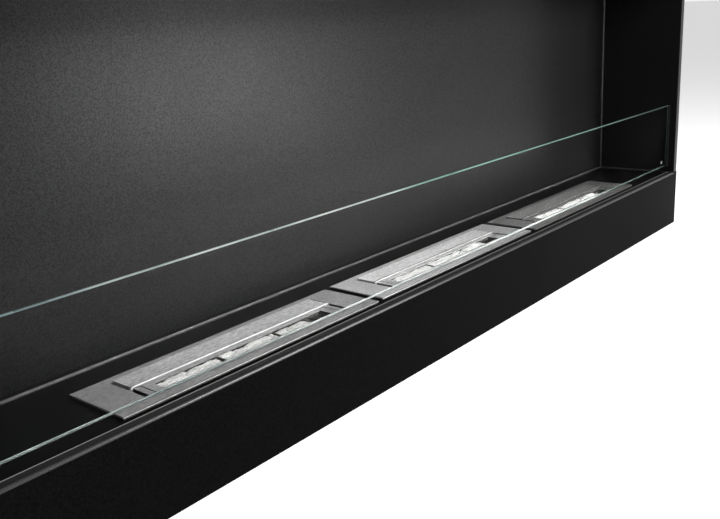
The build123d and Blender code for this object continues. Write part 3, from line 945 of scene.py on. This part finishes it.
@dataclass
class BurnerFinishes:
    """The finishes that all burners share."""

    # The flames have darkened the mouth's frame to a brownish grey. Its grey is also painted dark enough to
    # stand for the shade along the wool's rear edge and on the crossbars.
    retainer: PlainMetal = PlainMetal(
        "heat_darkened_stainless", dark="3a3a38", light="545450", roughness=(0.4, 0.5), mottle_mm=9.0
    )
    # The well is drawn from plain rolled sheet, so it shines softly.
    well: PlainMetal = PlainMetal("rolled_stainless_sheet", dark="777774", light="a9a9a5")
    # Ground chamfers look darker than the brushed face beside them, and set the plate's outline off.
    edge: PlainMetal = PlainMetal(
        "ground_stainless_edge", dark="50504f", light="686867", roughness=(0.4, 0.5),
    )
    # The tank is darker than the plate, because it is never polished.
    tank: BrushedStainless = BrushedStainless("brushed_stainless_tank", dark="585857", light="6e6e6c")

    def make(self) -> list[bpy.types.Material]:
        """Make the materials of the retainer, the well, the edges and the tank, in that order."""
        return [finish.make() for finish in (self.retainer, self.well, self.edge, self.tank)]


@dataclass
class Burner:
    """One burner: its tank, plate, mouth frame, filler well, shutter and wool."""

    number: int
    tone: BurnerTone
    retainer: bpy.types.Material
    well: bpy.types.Material
    edge: bpy.types.Material
    tank: bpy.types.Material

    def build(self) -> None:
        """Dress the burner and lay its wool."""
        number = self.number
        dress(f"burner_tank_{number}", self.tank)
        dress(f"burner_plate_{number}", self.tone.plate(), self.edge)
        dress(f"wool_retainer_{number}", self.retainer)
        dress(f"filler_well_{number}", self.well)
        dress(f"shutter_{number}", self.tone.shutter(), self.tone.bead())
        Wool(number, self.tone.wool(), self.tone.value.tear).build()


# ---------------------------------------------------------------- studio
@dataclass(frozen=True)
class Lamp:
    """A soft rectangular lamp."""

    name: str
    place: tuple[float, float, float]
    target: tuple[float, float, float]
    size: tuple[float, float]
    watts: float

    def hang(self) -> None:
        """Put the lamp in its place, turned to its target."""
        data = bpy.data.lights.new(self.name, "AREA")
        data.shape = "RECTANGLE"
        data.size, data.size_y = self.size
        data.energy = self.watts
        lamp = bpy.data.objects.new(self.name, data)
        bpy.context.scene.collection.objects.link(lamp)
        lamp.location = self.place
        aim = Vector(self.target) - Vector(self.place)
        lamp.rotation_euler = aim.to_track_quat("-Z", "Y").to_euler()


@dataclass
class Studio:
    """Floor, surroundings, lamps and camera."""

    # The camera's place, its three axes as unit vectors, its lens and the range that it sees.
    eye: tuple[float, float, float] = (-1.0379, -0.7496, 0.4851)
    right: tuple[float, float, float] = (0.6356, -0.7701, -0.0533)
    down: tuple[float, float, float] = (-0.2487, -0.1389, -0.9586)
    forward: tuple[float, float, float] = (0.7308, 0.6226, -0.2798)
    lens_mm: float = 42.92
    sensor_mm: float = 36.0
    nearest: float = 0.01
    farthest: float = 50.0
    # The floor is matt and pale. Its lift is what it glows to the eye, so that it comes out near white.
    floor_half: float = 40.0
    floor_colour: str = "eeeeee"
    floor_roughness: float = 0.9
    floor_gloss: float = 0.1
    floor_lift: float = 0.42
    # The world's level as light on the object, and to the eye.
    world_level: float = 0.28
    background_level: float = 0.85
    # Two lamps light the back wall from before its right half, one the burners from the left, one the rear.
    lamps: tuple[Lamp, ...] = (
        Lamp("high front lamp", (1.3, -2.0, 1.22), (-0.2, 0.07, 0.4), (1.0, 0.6), 58.0),
        Lamp("low front lamp", (0.9, -1.5, 0.25), (-0.3, 0.07, 0.45), (0.8, 0.35), 11.5),
        Lamp("left lamp", (-1.9, -1.6, 1.5), (-0.2, 0.0, 0.1), (1.0, 1.0), 44.0),
        Lamp("rear lamp", (-0.6, 2.2, 1.8), (0.0, 0.0, 0.2), (1.6, 1.0), 40.0),
    )

    def build(self) -> None:
        """Set up the studio."""
        self.lay_floor()
        self.surround()
        for lamp in self.lamps:
            lamp.hang()
        self.place_camera()
        bpy.context.scene.view_settings.view_transform = "Standard"

    def lay_floor(self) -> None:
        """Lay a plain pale floor."""
        shape = bmesh.new()
        bmesh.ops.create_grid(shape, x_segments=1, y_segments=1, size=self.floor_half)
        mesh = bpy.data.meshes.new("studio_floor")
        shape.to_mesh(mesh)
        shape.free()
        material, shader = Finish("matt_studio_floor").start(
            in_Base_Color=linear(self.floor_colour), in_Roughness=self.floor_roughness,
            in_Specular_IOR_Level=self.floor_gloss, in_Emission_Color=linear(WHITE),
        )
        feed(shader, "Emission Strength", self.seen_level(material, 0.0, self.floor_lift))
        mesh.materials.append(material)
        floor = bpy.data.objects.new("studio_floor", mesh)
        bpy.context.scene.collection.objects.link(floor)

    def seen_level(self, material: bpy.types.ID, as_light: float, as_seen: float) -> bpy.types.NodeSocket:
        """Give one level as light and another to the eye, also in metal and through glass.

        Args:
            material: The material or world that takes the nodes.
            as_light: The level that lights the object.
            as_seen: The level that the camera, reflections and refractions show.

        Returns:
            The level's socket.
        """
        path = add_node(material, "ShaderNodeLightPath")
        seen = path.outputs["Is Camera Ray"]
        for ray in ("Is Glossy Ray", "Is Transmission Ray"):
            rays = {0: seen, 1: path.outputs[ray]}
            seen = add_node(material, "ShaderNodeMath", rays, operation="MAXIMUM").outputs[0]
        level = add_node(
            material, "ShaderNodeMapRange", {"Value": seen}, in_To_Min=as_light, in_To_Max=as_seen,
        )
        return level.outputs[0]

    def surround(self) -> None:
        """Give the surroundings a pale tone to the eye and a softer one as light."""
        world = bpy.data.worlds.new("studio")
        bpy.context.scene.world = world
        world.use_nodes = True
        world.node_tree.nodes.clear()
        level = self.seen_level(world, self.world_level, self.background_level)
        shader = add_node(world, "ShaderNodeBackground", {"Strength": level}, in_Color=linear(WHITE))
        add_node(world, "ShaderNodeOutputWorld", {"Surface": shader.outputs[0]})

    def place_camera(self) -> None:
        """Stand the camera where the photograph was taken."""
        data = bpy.data.cameras.new("camera")
        data.sensor_width = self.sensor_mm
        data.lens = self.lens_mm
        data.clip_start = self.nearest
        data.clip_end = self.farthest
        camera = bpy.data.objects.new("camera", data)
        bpy.context.scene.collection.objects.link(camera)
        turned = Matrix((self.right, [-value for value in self.down], [-value for value in self.forward]))
        camera.matrix_world = Matrix.Translation(self.eye) @ turned.transposed().to_4x4()
        bpy.context.scene.camera = camera


def main() -> None:
    """Build every sub-assembly in order."""
    logging.basicConfig(level=logging.INFO, format="%(name)s: %(message)s")
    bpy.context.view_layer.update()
    for part in (Studio(), Casing(), Firebox(), GlassScreen()):
        part.build()
    shared = BurnerFinishes().make()
    for number, tone in enumerate(BurnerTone, start=1):
        Burner(number, tone, *shared).build()


if __name__ == "__main__":
    main()
